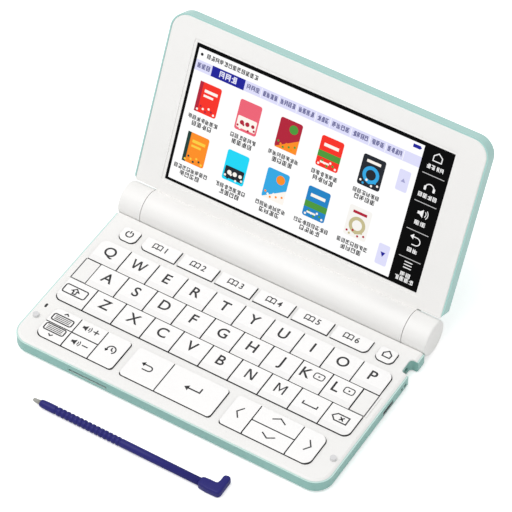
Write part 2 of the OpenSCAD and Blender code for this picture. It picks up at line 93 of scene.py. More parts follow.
def place(label, note, *xyz):
    return FloatVectorProperty(name=label, description=note, default=xyz, size=3,
                               subtype="TRANSLATION", unit="LENGTH")


class StageSettings(bpy.types.PropertyGroup):
    camera_at: place("Camera", "Where the camera stands", 0.43509, -0.687974, 0.95884)
    aim_at: place("Aim", "The point that the camera looks at", -0.013064, 0.036224, 0.003282)
    lens: amount("Lens", "Focal length in millimetres on a 36 mm sensor", 217.14)
    floor: colour("Floor", "Colour of the table", 252, 252, 252)
    room_light: amount("Room light", "Strength of the light from all round", 0.65)
    lamp_watts: amount("Lamp", "Power of the overhead softbox in watts", 9.5)
    lamp_size: length("Softbox", "Side of the overhead softbox", 1.1)
    lamp_at: place("Softbox place", "Where the softbox hangs, turned to the object", -0.35, -0.35, 1.35)
    floor_glow: amount("Floor glow", "Extra brightness of the table that only the camera sees", 0.4)


class ShellSettings(bpy.types.PropertyGroup):
    # Painted light on the lower case's mint: the steep sides take the darker Mint as painted shade, the
    # upward faces the lighter Rim mint as painted highlight. Lid mint is a third tone of the same mint,
    # for the lid's back.
    mint: colour("Mint", "Colour of the lower case", 140, 189, 181)
    mint_painted_highlight: colour("Rim mint", "Colour of the lower case's upward faces", 198, 226, 220)
    lid_mint: colour("Lid mint", "Colour of the lid's back case", 170, 212, 206)
    white: colour("White", "Colour of the deck, the bezel and the barrel", 243, 242, 240)
    key_white: colour("Keys", "Colour of the key caps", 251, 250, 249)
    # Painted shade: this dark grey on the steep sides of the key caps and in the seams round the blank
    # pads stands in for the shade in the gaps.
    key_gap_shade: colour("Key sides", "Colour of the sides of the key caps", 70, 70, 72)
    rubber: colour("Rubber", "Colour of the feet and bumpers", 218, 218, 219)
    edge: length("Shell edge", "Width of the rounded edges of the shells", 0.3 * MM)
    back_edge: length("Lid back edge", "Width of the rounded edges of the lid's back", 0.6 * MM)
    key_edge: length("Key edge", "Width of the rounded edges of the key caps", 0.14 * MM)
    grain: length("Grain", "Size of the fine grain of the moulded plastic", 0.35 * MM)


class LegendSettings(bpy.types.PropertyGroup):
    ink: colour("Ink", "Colour of the printed legends", 26, 26, 29)
    letter_h: length("Letter height", "Height of the letters", 4.9 * MM)
    letter_up: length("Letter shift", "How far letters sit behind the key's middle", 1.15 * MM)
    number_h: length("Number height", "Height of the numbers on the wide keys", 2.9 * MM)
    weight: amount("Letter weight", "How much heavier than the font the letters are", 0.013)
    stroke: length("Stroke", "Width of the lines of the pictograms", 0.58 * MM)
    print_t: length("Print", "Thickness of the print", 0.02 * MM)


class ScreenSettings(bpy.types.PropertyGroup):
    page: colour("Page", "Colour of the lit page", 255, 255, 255)
    tabs: colour("Tabs", "Colour of the row of tabs", 221, 221, 250)
    chosen: colour("Chosen tab", "Colour of the chosen tab", 0, 8, 150)
    text: colour("Text marks", "Colour of the rows of marks", 22, 22, 28)
    glow: amount("Glow", "Brightness of the lit page", 1.0)
    pixel: length("Pixel", "Pitch of the display's pixels", 0.16 * MM)
    seed: IntProperty(name="Marks seed", description="Seed of the text-like marks", default=5)


class StylusSettings(bpy.types.PropertyGroup):
    navy: colour("Navy", "Colour of the stylus", 32, 30, 112)
    tip: colour("Tip", "Colour of the stylus's tip", 158, 158, 152)
    rib_pitch: length("Rib pitch", "Distance from one grip rib to the next", 2 * MM)


SETTINGS = {"stage": StageSettings, "shell": ShellSettings, "legend": LegendSettings,
            "screen": ScreenSettings, "stylus": StylusSettings}


def settings(group):
    return getattr(bpy.context.scene, "dictionary_" + group)


# Shared shader groups

def node_group(name, inputs, outputs):
    """A shader group with named sockets, with its input and output nodes."""
    group = bpy.data.node_groups.new(name, "ShaderNodeTree")
    for label, kind, default in inputs:
        socket = group.interface.new_socket(label, in_out="INPUT", socket_type=kind)
        if default is not None:
            socket.default_value = default
    for label, kind in outputs:
        group.interface.new_socket(label, in_out="OUTPUT", socket_type=kind)
    return group, group.nodes.new("NodeGroupInput"), group.nodes.new("NodeGroupOutput")


def add_node(tree, kind, links=(), **values):
    """A node with its values set: sockets by name in `values`, links as (socket, source)."""
    node = tree.nodes.new("ShaderNode" + kind)
    for key, value in values.items():
        if key in node.inputs.keys():
            node.inputs[key].default_value = value
        else:
            setattr(node, key, value)
    for socket, source in links:
        tree.links.new(source, node.inputs[socket])
    return node


def make_moulded_grain():
    """Fine spark-eroded grain with a slow drift of tone, as on moulded plastic."""
    group, given, made = node_group(
        "Moulded grain", [("Size", "NodeSocketFloat", 0.0004)],
        [("Tone", "NodeSocketFloat"), ("Height", "NodeSocketFloat")])
    place_on = add_node(group, "TexCoord")
    scale = add_node(group, "Math", [(1, given.outputs["Size"])], operation="DIVIDE")
    scale.inputs[0].default_value = 1.0
    fine = add_node(group, "TexNoise", [("Vector", place_on.outputs["Object"]),
                                        ("Scale", scale.outputs[0])], Detail=3.0, Roughness=0.6)
    drift = add_node(group, "TexNoise", [("Vector", place_on.outputs["Object"])],
                     Scale=28.0, Detail=2.0, Roughness=0.5)
    mixed = add_node(group, "Math", [(0, fine.outputs["Fac"])], operation="MULTIPLY_ADD")
    mixed.inputs[1].default_value = 0.35
    group.links.new(drift.outputs["Fac"], mixed.inputs[2])
    group.links.new(mixed.outputs[0], made.inputs["Tone"])
    group.links.new(fine.outputs["Fac"], made.inputs["Height"])


def make_handling_marks():
    """Faint smears from fingers, as a mask that is mostly 0."""
    group, given, made = node_group(
        "Handling marks", [("Size", "NodeSocketFloat", 0.03), ("Share", "NodeSocketFloat", 0.5)],
        [("Mask", "NodeSocketFloat")])
    place_on = add_node(group, "TexCoord")
    scale = add_node(group, "Math", [(1, given.outputs["Size"])], operation="DIVIDE")
    scale.inputs[0].default_value = 1.0
    smear = add_node(group, "TexNoise", [("Vector", place_on.outputs["Object"]),
                                         ("Scale", scale.outputs[0])],
                     Detail=4.0, Roughness=0.7, Distortion=1.2)
    lowest = add_node(group, "Math", [(1, given.outputs["Share"])], operation="SUBTRACT")
    lowest.inputs[0].default_value = 1.0
    mask = add_node(group, "MapRange", [("Value", smear.outputs["Fac"]),
                                        ("From Min", lowest.outputs[0])])
    mask.inputs["From Max"].default_value = 0.85
    group.links.new(mask.outputs["Result"], made.inputs["Mask"])


def make_pixel_grid():
    """The display's pixels: a faint dark line between them, on the lid's own plane."""
    group, given, made = node_group(
        "Pixel grid", [("Pitch", "NodeSocketFloat", 0.00016)], [("Tone", "NodeSocketFloat")])
    place_on = add_node(group, "TexCoord")
    turned = add_node(group, "Mapping", [("Vector", place_on.outputs["Object"])],
                      vector_type="POINT", Rotation=(-LID_LEAN, 0, 0))
    split = add_node(group, "SeparateXYZ", [("Vector", turned.outputs["Vector"])])
    inside = []
    for axis in ("X", "Y"):
        step = add_node(group, "Math", [(0, split.outputs[axis]), (1, given.outputs["Pitch"])],
                        operation="DIVIDE")
        part = add_node(group, "Math", [(0, step.outputs[0])], operation="FRACT")
        line = add_node(group, "Math", [(0, part.outputs[0])], operation="GREATER_THAN")
        line.inputs[1].default_value = 0.12
        inside.append(line.outputs[0])
    both = add_node(group, "Math", [(0, inside[0]), (1, inside[1])], operation="MULTIPLY")
    tone = add_node(group, "MapRange", [("Value", both.outputs[0])])
    tone.inputs["To Min"].default_value = 0.965
    group.links.new(tone.outputs["Result"], made.inputs["Tone"])


def place_group(tree, name, **values):
    node = tree.nodes.new("ShaderNodeGroup")
    node.node_tree = bpy.data.node_groups[name]
    for key, value in values.items():
        node.inputs[key].default_value = value
    return node


# Materials

def new_material(name):
    """A material with its tree and its Principled shader."""
    material = bpy.data.materials.new(name)
    material.use_nodes = True
    tree = material.node_tree
    shader = next(n for n in tree.nodes if n.type == "BSDF_PRINCIPLED")
    return material, tree, shader


def between(tree, mask, low, high):
    """A colour that runs from low to high with a mask; each is a colour or a socket."""
    mix = add_node(tree, "Mix", data_type="RGBA")
    tree.links.new(mask, mix.inputs["Factor"])
    for socket, source in zip((s for s in mix.inputs if s.type == "RGBA"), (low, high)):
        if isinstance(source, bpy.types.NodeSocket):
            tree.links.new(source, socket)
        else:
            socket.default_value = (*source, 1)
    return next(s for s in mix.outputs if s.type == "RGBA")


def shaded(rgb, factor):
    return [min(1.0, v * factor) for v in rgb]


def plastic(name, rgb, roughness=0.45, grain=0.00035, depth=0.06, tone=0.04, coat=0.0,
            specular=0.5, marks=0.1, sides=None):
    """Moulded plastic: grain in the bump, a slow drift of tone, and finger marks in the gloss.
    `sides` is a darker colour painted on the steep faces as shade; with it the front band is painted a
    little greyer as shade."""
    material, tree, shader = new_material(name)
    texture = place_group(tree, "Moulded grain", Size=grain)
    smears = place_group(tree, "Handling marks", Size=0.03, Share=0.48)
    body = between(tree, texture.outputs["Tone"], shaded(rgb, 1 - tone), shaded(rgb, 1 + tone * 0.4))
    # Painted shade: steep faces and the front band darker than the top.
    if sides is not None:
        body = painted_shade_by_facing(tree, body, rgb, sides)
    tree.links.new(body, shader.inputs["Base Color"])
    gloss = add_node(tree, "MapRange", [("Value", smears.outputs["Mask"])])
    gloss.inputs["To Min"].default_value = roughness
    gloss.inputs["To Max"].default_value = max(roughness - marks, 0.05)
    tree.links.new(gloss.outputs["Result"], shader.inputs["Roughness"])
    bump = add_node(tree, "Bump", [("Height", texture.outputs["Height"])],
                    Strength=depth, Distance=0.0001)
    tree.links.new(bump.outputs["Normal"], shader.inputs["Normal"])
    shader.inputs["Specular IOR Level"].default_value = specular
    shader.inputs["Coat Weight"].default_value = coat
    shader.inputs["Coat Roughness"].default_value = 0.2
    return material


def painted_shade_by_facing(tree, body, rgb, sides):
    """Paints shade by facing: the steep faces take the darker second colour, and the front band a
    slightly greyer one.
    """
    facing = add_node(tree, "SeparateXYZ", [("Vector", add_node(tree, "TexCoord").outputs["Normal"])])
    steep = add_node(tree, "MapRange", [("Value", facing.outputs["Z"])])
    steep.inputs["From Min"].default_value = 0.75
    steep.inputs["From Max"].default_value = 0.45
    front = add_node(tree, "MapRange", [("Value", facing.outputs["Y"])])
    front.inputs["From Min"].default_value = -0.03
    front.inputs["From Max"].default_value = -0.06
    banded = between(tree, front.outputs["Result"], body, shaded(rgb, 0.94))
    return between(tree, steep.outputs["Result"], banded, sides)


def metal(name, rgb, roughness=0.3, grain=0.0002):
    """Plain metal with fine brushing."""
    material, tree, shader = new_material(name)
    texture = place_group(tree, "Moulded grain", Size=grain)
    tree.links.new(between(tree, texture.outputs["Tone"], shaded(rgb, 0.8), rgb),
                   shader.inputs["Base Color"])
    rough = add_node(tree, "MapRange", [("Value", texture.outputs["Tone"])])
    rough.inputs["To Min"].default_value = roughness * 0.8
    rough.inputs["To Max"].default_value = roughness * 1.3
    tree.links.new(rough.outputs["Result"], shader.inputs["Roughness"])
    shader.inputs["Metallic"].default_value = 1.0
    return material


def printed_ink(name, rgb):
    """Screen-printed ink, a little uneven in tone."""
    return plastic(name, rgb, roughness=0.55, grain=0.0003, depth=0.02, tone=0.18, marks=0.05)


def lit(name, rgb, glow=1.0):
    """A lit area of the display, with its pixels."""
    material, tree, shader = new_material(name)
    grid = place_group(tree, "Pixel grid", Pitch=settings("screen").pixel)
    tree.links.new(between(tree, grid.outputs["Tone"], shaded(rgb, 0.4), rgb),
                   shader.inputs["Emission Color"])
    shader.inputs["Base Color"].default_value = (0.01, 0.01, 0.01, 1)
    shader.inputs["Emission Strength"].default_value = glow
    shader.inputs["Roughness"].default_value = 0.25
    shader.inputs["Specular IOR Level"].default_value = 0.12
    return material


def panel_black():
    """The dark border of the touch panel under its glass."""
    return plastic("panel_black", (0.001, 0.001, 0.0012), roughness=0.2, grain=0.002,
                   depth=0.0, tone=0.3, specular=0.05, marks=0.06)


def dress(node, material):
    for slot in NODES[node].material_slots:
        slot.material = material


def soften(node, width, segments=2, angle=40):
    """Rounds a CAD node's sharp edges for the render."""
    obj = NODES[node]
    weld = obj.modifiers.new("weld", "WELD")
    weld.merge_threshold = 0.002 * MM
    bevel = obj.modifiers.new("edges", "BEVEL")
    bevel.width = width
    bevel.segments = segments
    bevel.limit_method = "ANGLE"
    bevel.angle_limit = math.radians(angle)
    smooth = obj.modifiers.new("smooth", "WEIGHTED_NORMAL")
    smooth.keep_sharp = True


# Flat prints

class Sketch:
    """Flat shapes in millimetres, made into one thin printed piece."""

    def __init__(self):
        self.faces = []

    def shape(self, points):
        """A filled outline."""
        area = sum(a[0] * b[1] - b[0] * a[1] for a, b in zip(points, points[1:] + points[:1]))
        self.faces.append(list(points) if area > 0 else list(reversed(points)))

    def stroke(self, points, width, closed=False):
        """A line of even width with mitred corners."""
        count = len(points)
        left, right = [], []
        for i, (x, y) in enumerate(points):
            before = points[i - 1] if closed or i else None
            after = points[(i + 1) % count] if closed or i < count - 1 else None
            turns = [unit(b[0] - a[0], b[1] - a[1])
                     for a, b in ((before, (x, y)), ((x, y), after)) if a and b]
            nx, ny = unit(-sum(t[1] for t in turns), sum(t[0] for t in turns))
            reach = width / 2 / max(0.4, -nx * turns[0][1] + ny * turns[0][0])
            left.append((x + nx * reach, y + ny * reach))
            right.append((x - nx * reach, y - ny * reach))
        for i in range(count if closed else count - 1):
            j = (i + 1) % count
            self.shape([right[i], right[j], left[j], left[i]])

    def box(self, x0, x1, y0, y1, r=0.0):
        self.shape(rounded(x0, x1, y0, y1, r))

    def outline(self, x0, x1, y0, y1, r, width):
        self.stroke(rounded(x0, x1, y0, y1, r), width, closed=True)

    def disc(self, x, y, r):
        self.shape(arc(x, y, r, 0, 345, 24))

    def ring(self, x, y, r, width, start=0, end=360):
        closed = end - start >= 360
        steps = max(6, int((end - start) / 15))
        self.stroke(arc(x, y, r, start, end - (360 / steps if closed else 0), steps + (not closed)),
                    width, closed)

    def marks(self, rng, x0, x1, y0, y1, pitch):
        """A row of small text-like marks that spell nothing."""
        count = max(1, round((x1 - x0) / pitch))
        step = (x1 - x0) / count
        h = y1 - y0
        t = 0.17 * h
        for i in range(count):
            a = x0 + (i + 0.1) * step
            b = x0 + (i + 0.88) * step
            for level in rng.sample([0.08, 0.36, 0.64, 0.92], rng.choice([3, 4])):
                y = y0 + level * h
                indent = rng.choice([0, 0, 0.3]) * (b - a)
                self.box(a + indent, b, y - t / 2, y + t / 2)
            for part in rng.sample([0.1, 0.5, 0.9], 2):
                x = a + part * (b - a)
                self.box(x - t / 2, x + t / 2, y0, y1)

    def make(self, name, plane, material, thickness):
        """Builds the piece on a plane, as a closed thin solid."""
        mesh = bpy.data.meshes.new(name)
        bm = bmesh.new()
        for points in self.faces:
            corners = [bm.verts.new(plane @ Vector((x * MM, y * MM, 0))) for x, y in points]
            bm.faces.new(corners)
        bmesh.ops.remove_doubles(bm, verts=bm.verts, dist=0.001 * MM)
        bm.to_mesh(mesh)
        bm.free()
        return solid_print(name, mesh, material, thickness)


def unit(x, y):
    size = math.hypot(x, y) or 1.0
    return x / size, y / size


def arc(x, y, r, start, end, steps):
    return [(x + r * math.cos(math.radians(start + (end - start) * i / (steps - 1))),
             y + r * math.sin(math.radians(start + (end - start) * i / (steps - 1))))
            for i in range(steps)]


def rounded(x0, x1, y0, y1, r):
    """The outline of a box with round corners, anticlockwise."""
    if r <= 0:
        return [(x0, y0), (x1, y0), (x1, y1), (x0, y1)]
    return (arc(x1 - r, y0 + r, r, -90, 0, 5) + arc(x1 - r, y1 - r, r, 0, 90, 5)
            + arc(x0 + r, y1 - r, r, 90, 180, 5) + arc(x0 + r, y0 + r, r, 180, 270, 5))


def link(name, mesh, material):
    obj = bpy.data.objects.new(name, mesh)
    bpy.context.scene.collection.objects.link(obj)
    obj.data.materials.append(material)
    return obj


def solid_print(name, mesh, material, thickness):
    obj = link(name, mesh, material)
    solid = obj.modifiers.new("print", "SOLIDIFY")
    solid.thickness = thickness
    solid.offset = 1
    return obj


def letters(text, height, weight):
    """Outlined letters as a flat mesh, centred across, standing on y = 0, of that cap height."""
    def flat(body):
        curve = bpy.data.curves.new("letters", "FONT")
        curve.body = body
        curve.size = 1.0
        curve.offset = weight
        curve.resolution_u = 5
        holder = bpy.data.objects.new("letters", curve)
        bpy.context.scene.collection.objects.link(holder)
        bpy.context.view_layer.update()
        mesh = bpy.data.meshes.new_from_object(holder.evaluated_get(
            bpy.context.evaluated_depsgraph_get()))
        bpy.data.objects.remove(holder)
        bpy.data.curves.remove(curve)
        return mesh
    cap = max(v.co.y for v in flat("H").vertices)
    mesh = flat(text)
    scale = height / cap
    middle = (max(v.co.x for v in mesh.vertices) + min(v.co.x for v in mesh.vertices)) / 2
    mesh.transform(Matrix.Scale(scale, 4) @ Matrix.Translation((-middle, 0, 0)))
    return mesh


def on_lid(x, s, w):
    """A point of the open lid in metres: x across, s away from the hinge axis, w out of it."""
    return HINGE + Vector((x, s * math.cos(LID_LEAN) - w * math.sin(LID_LEAN),
                           s * math.sin(LID_LEAN) + w * math.cos(LID_LEAN)))


def lid_plane(w):
    """The plane at height w on the lid, with its own x across and y away from the hinge."""
    return Matrix.Translation(on_lid(0, 0, w)) @ Matrix.Rotation(LID_LEAN, 4, "X")


def on_lid_top():
    """Height of the touch panel's face above the hinge axis, along the lid's own w axis."""
    panel = NODES["touch_panel"].data
    face_out = Vector((0, -math.sin(LID_LEAN), math.cos(LID_LEAN)))
    return max((v.co - HINGE).dot(face_out) for v in panel.vertices)


def at(x, y, z):
    """A point given in millimetres from the middle of the front edge, on the table."""
    return Vector((x * MM, (y - HINGE_Y) * MM + HINGE.y, z * MM))


def facing(origin, right, up):
    """A plane through a point, with its own x to the right and its own y upwards."""
    right, up = Vector(right), Vector(up)
    turn = Matrix((right, up, right.cross(up))).transposed()
    return Matrix.Translation(origin) @ turn.to_4x4()


def top_plane(z):
    """The level plane at a height in millimetres, from the middle of the front edge."""
    return facing(at(0, 0, z), (1, 0, 0), (0, 1, 0))


def key_plane(node):
    """The plane just above the middle of a key's top."""
    lo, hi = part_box(node)
    return Matrix.Translation(((lo.x + hi.x) / 2, (lo.y + hi.y) / 2, hi.z + LIFT))


def lathe(name, profile, origin, material, steps=40):
    """A smooth turned piece along +X; the profile is (distance, radius) in millimetres."""
    mesh = bpy.data.meshes.new(name)
    bm = bmesh.new()
    rings = []
    for along, r in profile:
        rings.append([bm.verts.new(origin + Vector((along, r * math.cos(a), r * math.sin(a))) * MM)
                      for a in (2 * math.pi * i / steps for i in range(steps if r > 0 else 1))])
    for near, far in zip(rings, rings[1:]):
        for i in range(steps):
            j = (i + 1) % steps
            corners = [near[i % len(near)], near[j % len(near)], far[j % len(far)], far[i % len(far)]]
            bm.faces.new(list(dict.fromkeys(corners))).smooth = True
    bmesh.ops.recalc_face_normals(bm, faces=bm.faces)
    bm.to_mesh(mesh)
    bm.free()
    return link(name, mesh, material)


# Legends

def draw_power(sketch, t):
    sketch.ring(-0.3, 0.4, 1.55, t, 120, 420)
    sketch.stroke([(-0.3, 0.9), (-0.3, 2.4)], t)


def draw_home(sketch, t):
    sketch.stroke([(-1.5, -1.0), (1.8, -1.0), (2.0, 0.7), (0.15, 2.4), (-1.7, 0.7)], t, True)


def draw_shift(sketch, t):
    sketch.outline(-5.9, 4.7, -1.6, 2.9, 0.9, t)
    sketch.stroke([(-0.6, 2.1), (1.0, 0.7), (0.1, 0.7), (0.1, -0.8), (-1.3, -0.8), (-1.3, 0.7),
                   (-2.2, 0.7)], t, True)


def draw_space(sketch, t):
    sketch.stroke([(-3.2, 1.1), (-3.2, -0.4), (3.2, -0.4), (3.2, 1.1)], t)


def draw_delete(sketch, t):
    sketch.stroke([(-3.9, 0.6), (-2.2, -1.2), (3.1, -1.2), (3.1, 2.4), (-2.2, 2.4)], t, True)
    for sign in (-1, 1):
        sketch.stroke([(-0.5, 0.6 - 0.9 * sign), (1.3, 0.6 + 0.9 * sign)], t)


def draw_page(sketch, t):
    for low, tip in ((1.6, 7.0), (-4.1, -6.2)):
        sketch.outline(-4.9, 4.5, low, low + 3.4, 0.8, t)
        for level in (0.9, 1.7, 2.5):
            sketch.box(-3.9, 3.5, low + level - 0.18, low + level + 0.18)
        shoulder = tip - math.copysign(0.9, tip)
        sketch.stroke([(-1.2, shoulder), (-0.2, tip), (0.8, shoulder)], t)


def draw_volume(sketch, t):
    for y in (4.8, -3.6):
        sketch.shape([(-4.0, y - 0.6), (-3.1, y - 0.6), (-1.9, y - 1.5), (-1.9, y + 1.5),
                      (-3.1, y + 0.6), (-4.0, y + 0.6)])
        for r in (1.2, 2.1):
            sketch.ring(-2.1, y, r, 0.4, -42, 42)
        sketch.box(1.0, 3.8, y - 0.27, y + 0.27)
    sketch.box(2.13, 2.67, 3.4, 6.2)


def draw_history(sketch, t):
    sketch.ring(0.2, 0.6, 1.9, t, -60, 215)
    sketch.shape([(-2.7, 0.2), (-0.9, 0.2), (-1.75, -1.2)])
    sketch.stroke([(0.2, 1.7), (0.2, 0.5), (1.1, 0.0)], t)


def draw_back(sketch, t):
    sketch.stroke([(-2.2, 1.5), (1.1, 1.5)] + arc(1.1, 0.2, 1.3, 75, -75, 8)
                  + [(1.1, -1.1), (-1.6, -1.1)], t)
    sketch.shape([(-3.2, 1.5), (-1.6, 2.7), (-1.6, 0.3)])


def draw_enter(sketch, t):
    sketch.stroke([(3.3, 2.7), (3.3, 0.3), (-2.2, 0.3)], t * 1.15)
    sketch.shape([(-3.9, 0.3), (-1.9, 1.7), (-1.9, -1.1)])


def chevron(sketch, x, y, dx, dy, t):
    """A thin arrow head with its tip at (x, y); dx, dy lead back along its arms."""
    if abs(dx) < abs(dy):
        sketch.stroke([(x + dx, y + dy), (x, y), (x + dx, y - dy)], t)
    else:
        sketch.stroke([(x - dx, y + dy), (x, y), (x + dx, y + dy)], t)


def draw_left(sketch, t):
    chevron(sketch, -1.65, 0.45, 2.0, 2.8, t)


def draw_right(sketch, t):
    chevron(sketch, 1.65, 0.45, -2.0, 2.8, t)


def draw_up_down(sketch, t):
    chevron(sketch, 0, 6.2, 3.0, -1.8, t)
    chevron(sketch, 0, -5.0, 3.0, 1.8, t)


def draw_jump(sketch, t):
    """The small window beside a letter."""
    sketch.outline(0.5, 4.9, 0.35, 3.35, 0.9, t * 0.8)
    sketch.disc(2.7, 1.85, 0.42)


def draw_book(sketch, t):
    """An open book, on the six wide keys."""
    t = t * 0.8
    for side in (-1, 1):
        sketch.stroke([(-1.9, -0.7), (-1.9 + side * 1.0, -0.35), (-1.9 + side * 2.0, -0.7),
                       (-1.9 + side * 2.0, 1.6), (-1.9 + side * 1.0, 1.95), (-1.9, 1.6)], t)
    sketch.stroke([(-1.9, -0.8), (-1.9, 1.7)], t)


PICTOGRAMS = {"key_power": draw_power, "key_home": draw_home, "key_shift": draw_shift,
              "key_space": draw_space, "key_delete": draw_delete, "key_page": draw_page,
              "key_volume": draw_volume, "key_history": draw_history, "key_back": draw_back,
              "key_enter": draw_enter, "key_left": draw_left, "key_right": draw_right,
              "key_up_down": draw_up_down, "key_k": draw_jump, "key_l": draw_jump}
PICTOGRAMS.update({f"key_index_{i}": draw_book for i in range(1, 7)})


def legend_text(node):
    """The letter or number on a key, with its place from the key's middle and its height."""
    sizes = settings("legend")
    name = node[len("key_"):]
    if len(name) == 1:
        across = -2.9 * MM if name in "kl" else -0.3 * MM
        return name.upper(), across, sizes.letter_up - sizes.letter_h / 2, sizes.letter_h
    if name.startswith("index_"):
        return name[-1], 2.2 * MM, -0.9 * MM, sizes.number_h
    return None


# Letters with sharp corners, as outlines in cap heights: the font's own break when made heavier
SHARP_LETTERS = {
    "M": [(-0.46, 0), (-0.46, 1), (-0.3, 1), (0, 0.42), (0.3, 1), (0.46, 1), (0.46, 0), (0.32, 0),
          (0.32, 0.79), (0, 0.17), (-0.32, 0.79), (-0.32, 0)],
    "N": [(-0.4, 0), (-0.4, 1), (-0.21, 1), (0.26, 0.23), (0.26, 1), (0.4, 1), (0.4, 0), (0.21, 0),
          (-0.26, 0.77), (-0.26, 0)],
    "W": [(-0.68, 1), (-0.38, 0), (-0.22, 0), (0, 0.73), (0.22, 0), (0.38, 0), (0.68, 1), (0.52, 1),
          (0.3, 0.27), (0.08, 1), (-0.08, 1), (-0.3, 0.27), (-0.52, 1)]}


# Screen, in millimetres on the lid: x across and s away from the hinge axis

PAGE = (-58.9, 46.9, 15.5, 75.2)
TAB_S = (65.3, 70.0)
TAB_EDGES = (-51.1, -35.2, -27.3, -19.0, -10.4, -1.6, 5.2, 14.9, 23.6, 31.0, 39.2)
CHOSEN_TAB = (-51.1, -35.3)
COVER_X = (-49.6, -30.2, -10.9, 8.5, 28.0)
COVER_S = (55.0, 32.0)
COVER_W, COVER_H, COVER_R = 10.4, 13.5, 1.0
CAPTION_S = (44.4, 21.3)
CAPTION_WIDTHS = (12.4, 14.5, 16.4)
SCROLL_X, SCROLL_S, SCROLL_H = (39.3, 44.5), (52.7, 19.0), 9.2
STRIP_X = 53.6
STRIP_LINES = (64.4, 51.9, 39.3, 26.8)
STRIP_MARKS = ((66.9, 3.9), (54.2, 4.4), (42.1, 2.7), (29.8, 2.5), (18.6, 2.5), (16.4, 4.4))
# Each cover's body, motif and title
COVERS = [("red", "wine", "cream"), ("rose", "cream", "wine"), ("wine", "orange", "leaf"),
          ("red", "leaf", "cream"), ("ink", "sky", "cream"), ("orange", "forest", "yellow"),
          ("cyan", "ink", "cream"), ("sky", "cream", "orange"), ("azure", "leaf", "cream"),
          ("paper", "khaki", "wine")]
COVER_COLOURS = {"red": (246, 38, 20), "wine": (176, 14, 48), "rose": (236, 96, 116),
                 "cream": (252, 246, 238), "orange": (252, 140, 16), "leaf": (70, 150, 50),
                 "ink": (14, 22, 34), "sky": (40, 166, 226), "forest": (10, 56, 48),
                 "yellow": (250, 206, 60), "cyan": (0, 214, 246), "azure": (10, 128, 196),
                 "paper": (246, 244, 240), "khaki": (196, 186, 140)}


def cover_shapes(motif, x, s):
    """The second and third colour's shapes on one cover, around its middle."""
    second, third = Sketch(), Sketch()
    half = COVER_W / 2
    for i in range(7):
        dot = (third, second)[i % 2]
        dot.disc(x - 3.9 + 1.3 * i, s - 5.6 + 0.9 * ((i * 5 + motif) % 3), 0.5)
    if motif == 0:
        second.box(x - half, x - half + 1.6, s - COVER_H / 2, s + COVER_H / 2)
        third.box(x - 2.4, x + 3.8, s + 2.6, s + 3.9)
        third.box(x - 2.4, x + 2.2, s + 0.6, s + 1.6)
    elif motif == 1:
        second.box(x - half + 0.7, x + half - 0.7, s - 5.6, s - 0.4, 0.6)
        third.disc(x - 2.2, s - 3.0, 1.0)
        third.disc(x + 0.4, s - 3.0, 1.0)
        third.disc(x + 3.0, s - 3.0, 0.8)
    elif motif == 2:
        second.shape([(x - half, s - COVER_H / 2), (x + half, s - COVER_H / 2), (x + half, s - 0.4)])
        third.disc(x + 1.6, s + 3.2, 2.0)
    elif motif == 3:
        second.box(x - half, x + half, s - 2.6, s + 0.2)
        third.box(x - 3.4, x + 3.4, s + 2.4, s + 3.8)
        third.box(x - 3.4, x + 0.8, s - 5.0, s - 4.2)
    else:
        second.ring(x, s - 1.2, 3.0, 1.5)
        third.box(x - 3.2, x + 3.2, s + 3.7, s + 4.9)
    return second, third


def draw_strip_icons(sketch):
    x = STRIP_X
    t = 0.42
    sketch.stroke([(x - 1.9, 70.7), (x + 1.9, 70.7), (x + 1.9, 72.8), (x, 74.3), (x - 1.9, 72.8)],
                  t, True)
    sketch.ring(x, 58.6, 2.0, t, 0, 180)
    sketch.box(x - 2.5, x - 1.5, 57.6, 59.4, 0.3)
    sketch.box(x + 1.5, x + 2.5, 57.6, 59.4, 0.3)
    sketch.shape([(x - 2.2, 46.9), (x - 1.2, 46.9), (x + 0.3, 45.7), (x + 0.3, 49.3),
                  (x - 1.2, 48.1), (x - 2.2, 48.1)])
    sketch.ring(x, 47.5, 1.6, t * 0.8, -45, 45)
    sketch.ring(x, 47.5, 2.5, t * 0.8, -45, 45)
    sketch.stroke([(x - 1.0, 36.7), (x + 0.7, 36.7)] + arc(x + 0.7, 35.0, 1.7, 80, -80, 8)
                  + [(x + 0.7, 33.3), (x - 1.0, 33.3)], t)
    sketch.shape([(x - 2.4, 36.7), (x - 0.9, 37.9), (x - 0.9, 35.5)])
    for level in (22.6, 23.9, 25.2):
        sketch.box(x - 1.8, x + 1.8, level - 0.2, level + 0.2)


# Ports and stylus, in millimetres from the middle of the front edge

SOCKET_X = 72.8         # the sockets' faces, just inside the case's right side
USB_Y, USB_Z = 50.6, 2.9
STRAP_Y, STRAP_Z = 63, 2.875
STRAP_BACK_X, STRAP_BAR_X = 72.5, 73.1
CARD_X, CARD_Y, CARD_Z = -35.8, 2.4, 3.25
PAD_X = (63.0, 69.74)
PAD_Y = (38.59, 50.63)
PAD_Z, DECK_Z = 7.5, 7.1
SPEAKER_X, SPEAKER_Y, SPEAKER_Z, SPEAKER_R = 48, 42, 1.67, 7.4
BARREL_R = 7.85
GRIP_RIBS = (1.2, 2.3, 3.4, 4.5, 5.6)
STYLUS_TIP = (-49.1, -19, 1.82)
STYLUS_RIBS, RIBS_FROM = 15, 12
HEEL_Z, HEEL_T, HEEL_R = 0.04, 3.56, 1.1
HOOK_OUTLINE = ([(78.6, -1.7), (79.6, -2.3), (82.6, -2.6)] + arc(87.2, -0.7, 1.8, -90, 0, 6)
                + [(88.9, 3.0)] + arc(87.5, 6.1, 1.4, 0, 90, 5) + arc(86.9, 6.1, 1.3, 90, 180, 5)
                + [(85.6, 3.9)] + arc(84.6, 3.3, 0.9, 0, -90, 4)[1:]
                + [(82.4, 2.4), (79.8, 2.2), (78.6, 1.7)])


# Operators

